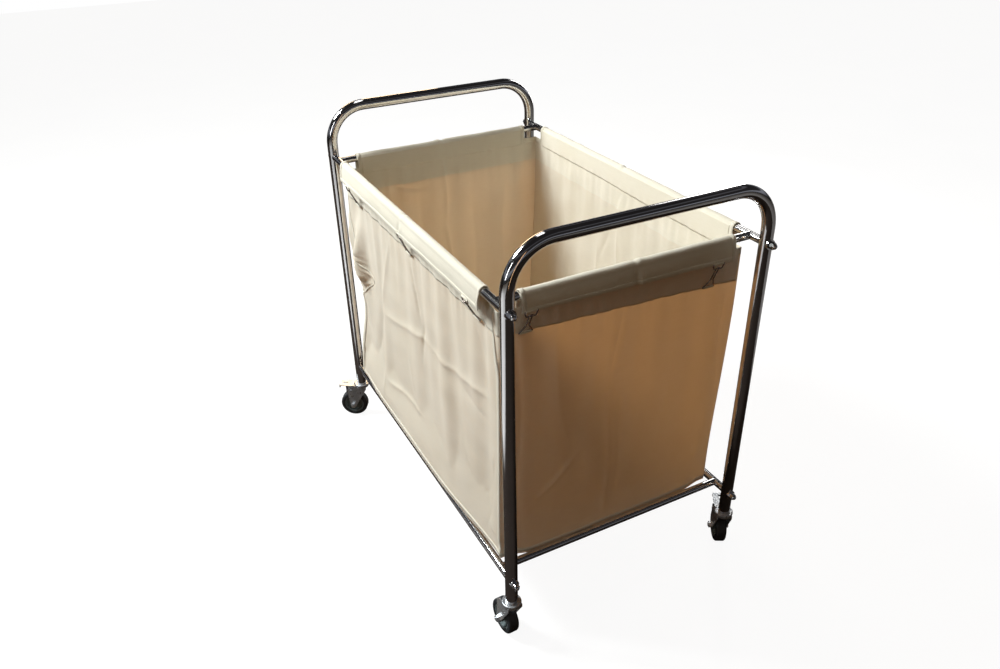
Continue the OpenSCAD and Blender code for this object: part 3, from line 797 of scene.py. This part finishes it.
panels = [makePanel(side, ids, 20 + 3 * i) for i, (side, ids) in enumerate(zip(sides, bagMaps))]
bottom = finer(bagPoints[bagMaps[4]], 2)
bottom[..., 2] = np.maximum(bottom[..., 2], floorZ + settling["boardLift"])
bagBottom = gridPiece("bagBottom", tucked(bottom), canvas)
keep(bagBottom, "frame", "canvas", "bag_floor")
print("panels cut")


# hems, bands and seams: a second layer of cloth laid on the panels, then the stitching

sewing = {
    "layer": 0.0009, "thinShare": 0.8, "hemRows": 4, "hemColumns": 2, "tuckRows": 5,
    "pitch": 0.0044, "stitch": 0.0032, "threadRadius": 0.00028, "proud": 0.0001, "inside": 0.0002,
}


def wrapped(name, grid, hem):
    # cloth turned over an edge: the grid's last row is the edge, and hem is the layer's height on both faces
    normals = outwardNormals(grid)
    edge = grid[-1] + (grid[-1] - grid[-2]) * 0.25
    turned = np.concatenate([grid - hem * normals, edge[None], (grid + hem * normals)[::-1]])
    lips = np.concatenate([grid[:1], turned, grid[:1]])
    return gridPiece(name, lips, canvasDouble)


def laid(name, grid, height):
    # a flat layer on one face, with its four edges turned down to the cloth below
    top = grid + height * outwardNormals(grid)
    rows = np.concatenate([grid[:1], top, grid[-1:]])
    first = np.concatenate([grid[:1, :1], grid[:, :1], grid[-1:, :1]])
    last = np.concatenate([grid[:1, -1:], grid[:, -1:], grid[-1:, -1:]])
    return gridPiece(name, np.concatenate([first, rows, last], axis=1), canvasDouble)


def stitchesAlong(points, normals, lift):
    # small lens-shaped stitches, one after another along a line
    steps = np.linalg.norm(np.diff(points, axis=0), axis=1)
    reach = np.concatenate([[0], np.cumsum(steps)])
    starts = np.arange(sewing["pitch"] / 2, reach[-1] - sewing["pitch"], sewing["pitch"])
    middle = starts + sewing["stitch"] / 2
    sample = lambda at, source: np.stack([np.interp(at, reach, source[:, k]) for k in range(3)], 1)
    a, m, b = (sample(at, points) for at in (starts, middle, starts + sewing["stitch"]))
    n = sample(middle, normals)
    n = n / np.linalg.norm(n, axis=1, keepdims=True)
    way = (b - a) / np.maximum(np.linalg.norm(b - a, axis=1, keepdims=True), 1e-9)
    across = np.cross(n, way)
    r = sewing["threadRadius"]
    up = n * lift
    corners = [a + up - n * r, m + up + n * r, m + up + across * r,
               m + up - n * r, m + up - across * r, b + up - n * r]
    shape = ((0, 1, 2), (0, 2, 3), (0, 3, 4), (0, 4, 1), (5, 2, 1), (5, 3, 2), (5, 4, 3), (5, 1, 4))
    return np.stack(corners, 1), shape


def sew(name, lines):
    points, faces = [], []
    for line, normals, lift in lines:
        corners, shape = stitchesAlong(line, normals, lift)
        for lens in corners:
            faces += [tuple(len(points) + i for i in f) for f in shape]
            points += list(lens)
    return keep(makeObject(name, points, faces, thread), "frame", "canvas")


def sewPanel(panel):
    side, wall, full, gap, bandRow = (panel[k] for k in ("side", "wall", "full", "gap", "bandRow"))
    name, h = side["name"], sewing["layer"]
    top, thin, proud = len(wall), h * sewing["thinShare"], h + sewing["proud"]
    inside = full[top - sewing["tuckRows"]:top + flapShape["riseRows"] + 2, ::-1]
    pieces = [laid("bandOutside" + name, wall[bandRow:, 1:-1], h),
              laid("flapInside" + name, inside[:, 2:-2], h)]
    pieces.append(wrapped("flapHem" + name, full[-sewing["hemRows"]:], h))
    wide = sewing["hemColumns"] + 1
    rise = full[top - 1:]
    pieces.append(wrapped("flapEndA" + name, np.swapaxes(rise[:, :wide], 0, 1)[::-1], h))
    pieces.append(wrapped("flapEndB" + name, np.swapaxes(rise[:, -wide:], 0, 1), h))
    pieces.append(wrapped("cornerHemA" + name, wall[-4:, :gap + 1], h))
    pieces.append(wrapped("cornerHemB" + name, wall[-4:, -gap - 1:], h))
    pieces.append(laid("footSeam" + name, wall[1:4], thin))
    n, fullN = outwardNormals(wall), outwardNormals(full)
    bandLine, tuckLine = bandRow + 1, top - sewing["tuckRows"] + 1
    lines = [(wall[bandLine], n[bandLine], proud), (wall[bandLine], -n[bandLine], sewing["inside"]),
             (wall[2], n[2], h), (full[tuckLine, 3:-3], -fullN[tuckLine, 3:-3], proud),
             (full[-3], -fullN[-3], proud)]
    for column in (2, -3):
        lines.append((full[top:, column], -fullN[top:, column], proud))
    if name in ("Left", "Right"):
        for end, columns in (("A", slice(0, 3)), ("B", slice(-3, None))):
            pieces.append(laid("cornerSeam" + name + end, wall[2:-1, columns], thin))
        for column in (1, 2, -2, -3):
            lines.append((wall[2:, column], n[2:, column], h))
    for piece in pieces:
        keep(piece, "frame", "canvas")
    pieces.append(sew("stitches" + name, lines))
    return pieces


for panel in panels:
    sewPanel(panel)
print("cloth sewn")


# wire clips between the hems and the band

clipShape = {
    "atEnds": {"Front": (-0.212, 0.190), "Rear": (-0.200, 0.200)}, "atSides": (-0.315, 0.0, 0.318),
    "wire": 0.0013, "wireSides": 8, "turn": 0.0022, "hemBar": 0.027, "lowBar": 0.019, "loopHeight": 0.0088,
    "neck": 0.0062, "neckShare": 0.60, "base": 0.028, "baseOut": 0.0030,
    "hemTab": 0.020, "hemTabRadius": 0.0023, "baseTab": 0.023, "baseTabRadius": 0.0024,
}


def rounded(points, radius, closed=False):
    # the same line with its corners cut to short arcs
    count = len(points)
    out = []
    for i, p in enumerate(points):
        if not closed and i in (0, count - 1):
            out.append(Vector(p))
            continue
        p, before, after = Vector(p), Vector(points[i - 1]), Vector(points[(i + 1) % count])
        a, b = before - p, after - p
        r = min(radius, a.length * 0.45, b.length * 0.45)
        first, last = p + a.normalized() * r, p + b.normalized() * r
        for k in range(5):
            t = k / 4
            out.append(first * (1 - t) ** 2 + p * 2 * t * (1 - t) + last * t ** 2)
    return out


def tube(points, radius, closed=False):
    # a round bar swept along a line, with domed ends where it is open
    points = [Vector(p) for p in points]
    count, sides = len(points), clipShape["wireSides"]
    rings, normal = [], None
    for i, p in enumerate(points):
        ahead = points[(i + 1) % count] if closed or i < count - 1 else p
        behind = points[i - 1] if closed or i > 0 else p
        way = (ahead - behind).normalized()
        if normal is None:
            normal = way.orthogonal().normalized()
        normal = (normal - way * normal.dot(way)).normalized()
        across = way.cross(normal)
        scales = [(1, 0)]
        if not closed and i == 0:
            scales = [(0.3, -0.9), (0.75, -0.55), (1, 0)]
        if not closed and i == count - 1:
            scales = [(1, 0), (0.75, 0.55), (0.3, 0.9)]
        for size, shift in scales:
            hub = p + way * shift * radius
            rings.append([hub + (normal * math.cos(a) + across * math.sin(a)) * radius * size
                          for a in (2 * math.pi * k / sides for k in range(sides))])
    faces = []
    for i in range(len(rings) if closed else len(rings) - 1):
        j = (i + 1) % len(rings)
        for k in range(sides):
            m = (k + 1) % sides
            faces.append((i * sides + k, i * sides + m, j * sides + m, j * sides + k))
    if not closed:
        faces.append(tuple(range(sides))[::-1])
        faces.append(tuple((len(rings) - 1) * sides + k for k in range(sides)))
    return [p for ring in rings for p in ring], faces


def joined(name, parts, material):
    points, faces = [], []
    for made, cells in parts:
        faces += [tuple(len(points) + i for i in f) for f in cells]
        points += made
    return makeObject(name, points, faces, material)


def clipAt(panel, along):
    # a loop through the flap's hem, a bent hook from it down to the band, and the cloth that holds them
    side, shape, middle = panel["side"], clipShape, bagMiddle
    way, outward = Vector(side["along"]), Vector(side["outward"])

    def nearest(row):
        return Vector(row[int(np.argmin(abs((row - np.array(bagMiddle)) @ side["along"] - along)))])

    def spot(u, out, z):
        return Vector((middle.x, middle.y, 0)) + way * (along + u) + outward * out + Vector((0, 0, z))

    def part(share):
        return a[0] + (b[0] - a[0]) * share, a[1] + (b[1] - a[1]) * share

    base, hem = nearest(panel["wall"][panel["bandRow"]]), nearest(panel["flap"][-1])
    baseOut = (base - middle).dot(outward) + shape["baseOut"]
    hemOut = (hem - middle).dot(outward)
    top, low = hem.z + 0.0016, hem.z - shape["loopHeight"]
    loop = [spot(-shape["hemBar"] / 2, hemOut + 0.0012, top), spot(shape["hemBar"] / 2, hemOut + 0.0012, top),
            spot(shape["lowBar"] / 2, hemOut - 0.0006, low), spot(-shape["lowBar"] / 2, hemOut - 0.0006, low)]
    a, b = (hemOut - 0.0010, low + 0.0020), (baseOut, base.z)
    neck = shape["neck"] / 2
    hook = [spot(shape["base"] / 2, *b), spot(neck, *part(shape["neckShare"])), spot(neck, *part(0.06)),
            spot(neck, hemOut + 0.0018, low + 0.0030), spot(-neck, hemOut + 0.0018, low + 0.0030),
            spot(-neck, *part(0.06)), spot(-neck, *part(shape["neckShare"])), spot(-shape["base"] / 2, *b)]
    upper = tube(rounded(loop, shape["turn"], True), shape["wire"], True)
    lower = tube(rounded(hook, shape["turn"], True), shape["wire"], True)
    hemTab = tube([spot(end * shape["hemTab"] / 2, hemOut + 0.0010, top + 0.0004) for end in (-1, 1)],
                  shape["hemTabRadius"])
    baseTab = tube([spot(end * shape["baseTab"] / 2, *b) for end in (-1, 1)], shape["baseTabRadius"])
    return upper, lower, [hemTab, baseTab]


def makeClips():
    loops, hooks, tabs = [], [], []
    for panel in panels:
        for along in clipShape["atEnds"].get(panel["side"]["name"], clipShape["atSides"]):
            upper, lower, cloth = clipAt(panel, along)
            loops.append(upper)
            hooks.append(lower)
            tabs += cloth
    keep(joined("clipLoops", loops, steels["wireSteel"]), "frame", "clip_wire", "hem_rings")
    keep(joined("clipHooks", hooks, steels["wireSteel"]), "frame", "clip_wire", "wire_hooks", "band_rings")
    keep(joined("clipTabs", tabs, canvasDouble), "frame", "canvas")


makeClips()
print("clips hooked")


# camera, light and floor

view = {
    "place": (-0.811, -1.4945, 1.411), "azimuth": -26.91, "elevation": 30.47, "roll": -1.23, "lens": 29.93,
}

lamps = [
    {"name": "keyLight", "place": (-1.75, 1.3, 2.6), "aim": (0, 0, 0.45), "size": (0.8, 0.8), "power": 132,
     "tint": (0.97, 1, 0.99)},
    {"name": "sideLight", "place": (-2.4, -0.5, 1.5), "aim": (0, 0, 0.5), "size": (0.2, 1.2), "power": 5,
     "tint": (0.97, 0.98, 1)},
    {"name": "topLight", "place": (0.1, 0.9, 2.9), "aim": (0, 0.1, 0.4), "size": (0.5, 1.6), "power": 6,
     "tint": (1, 1, 1)},
    {"name": "rimLight", "place": (1.9, 1.5, 1.3), "aim": (0, 0, 0.5), "size": (0.3, 1.8), "power": 12,
     "tint": (1, 0.98, 0.96)},
    {"name": "frontFill", "place": (-0.9, -2.6, 1.0), "aim": (0, 0, 0.45), "size": (0.12, 2.0), "power": 1.6,
     "tint": (1, 0.60, 0.32)},
    {"name": "backGlow", "place": (0.3, 2.6, 1.5), "aim": (0, 0.4, 0.45), "size": (1.2, 0.5), "power": 12,
     "tint": (1, 0.72, 0.42)},
]

# what the eye sees, what falls on the cart and what the chrome mirrors, the last two from below to overhead
roomLook = {
    "seen": (1, 1, 1), "strength": 1.0,
    "falling": ((0.48, (0.030, 0.021, 0.015)), (0.95, (0.17, 0.145, 0.115))),
    "mirrored": ((0.50, (0.02, 0.02, 0.02)), (0.55, (0.16, 0.165, 0.19)), (0.60, (0.22, 0.23, 0.26)),
                 (0.63, (0.02, 0.019, 0.02)), (0.80, (0.016, 0.015, 0.016)), (0.84, (0.09, 0.09, 0.10)),
                 (0.88, (0.014, 0.013, 0.014))),
}


def placeCamera():
    camera = bpy.data.objects.new("camera", bpy.data.cameras.new("camera"))
    camera.data.lens = view["lens"]
    camera.data.sensor_width = 36
    camera.data.clip_start = 0.05
    turns = ((view["azimuth"], "Z"), (90 - view["elevation"], "X"), (view["roll"], "Z"))
    camera.matrix_world = Matrix.Translation(view["place"])
    for angle, axis in turns:
        camera.matrix_world = camera.matrix_world @ Matrix.Rotation(math.radians(angle), 4, axis)
    scene.collection.objects.link(camera)
    scene.camera = camera


def placeLamps():
    for lamp in lamps:
        light = bpy.data.lights.new(lamp["name"], "AREA")
        light.shape = "RECTANGLE"
        light.size, light.size_y = lamp["size"]
        light.energy = lamp["power"]
        light.color = lamp["tint"]
        made = bpy.data.objects.new(lamp["name"], light)
        made.location = lamp["place"]
        made.rotation_euler = (Vector(lamp["aim"]) - made.location).to_track_quat("-Z", "Y").to_euler()
        scene.collection.objects.link(made)


def makeRoom():
    # white behind the cart, dim and warm in what falls on it, and banded in what the chrome mirrors
    world = bpy.data.worlds.new("room")
    world.use_nodes = True
    scene.world = world
    tree = world.node_tree
    link = tree.links.new
    back = tree.nodes["Background"]
    rays = tree.nodes.new("ShaderNodeLightPath")
    place = tree.nodes.new("ShaderNodeTexCoord")
    split = tree.nodes.new("ShaderNodeSeparateXYZ")
    height = tree.nodes.new("ShaderNodeMath")  # from 0 straight down to 1 straight up
    height.operation = "MULTIPLY_ADD"
    height.inputs[1].default_value = 0.5
    height.inputs[2].default_value = 0.5
    link(place.outputs["Generated"], split.inputs[0])
    link(split.outputs["Z"], height.inputs[0])

    ramps = {}
    for name in ("falling", "mirrored"):
        ramps[name] = tree.nodes.new("ShaderNodeValToRGB")
        fillRamp(ramps[name], roomLook[name])
        link(height.outputs[0], ramps[name].inputs["Fac"])
    unseen, everything = (tree.nodes.new("ShaderNodeMix") for _ in range(2))
    for mix, ray in ((unseen, "Is Glossy Ray"), (everything, "Is Camera Ray")):
        mix.data_type = "RGBA"
        link(rays.outputs[ray], mix.inputs[0])
    link(ramps["falling"].outputs["Color"], unseen.inputs[6])
    link(ramps["mirrored"].outputs["Color"], unseen.inputs[7])
    link(unseen.outputs[2], everything.inputs[6])
    everything.inputs[7].default_value = (*roomLook["seen"], 1)
    link(everything.outputs[2], back.inputs["Color"])
    back.inputs["Strength"].default_value = roomLook["strength"]


def makeFloor():
    half = 9
    corners = [(-half, -half, 0), (half, -half, 0), (half, half, 0), (-half, half, 0)]
    makeObject("studioFloor", corners, [(0, 1, 2, 3)], makeFloorLook())


placeCamera()
placeLamps()
makeRoom()
makeFloor()
print("camera, light and floor set")
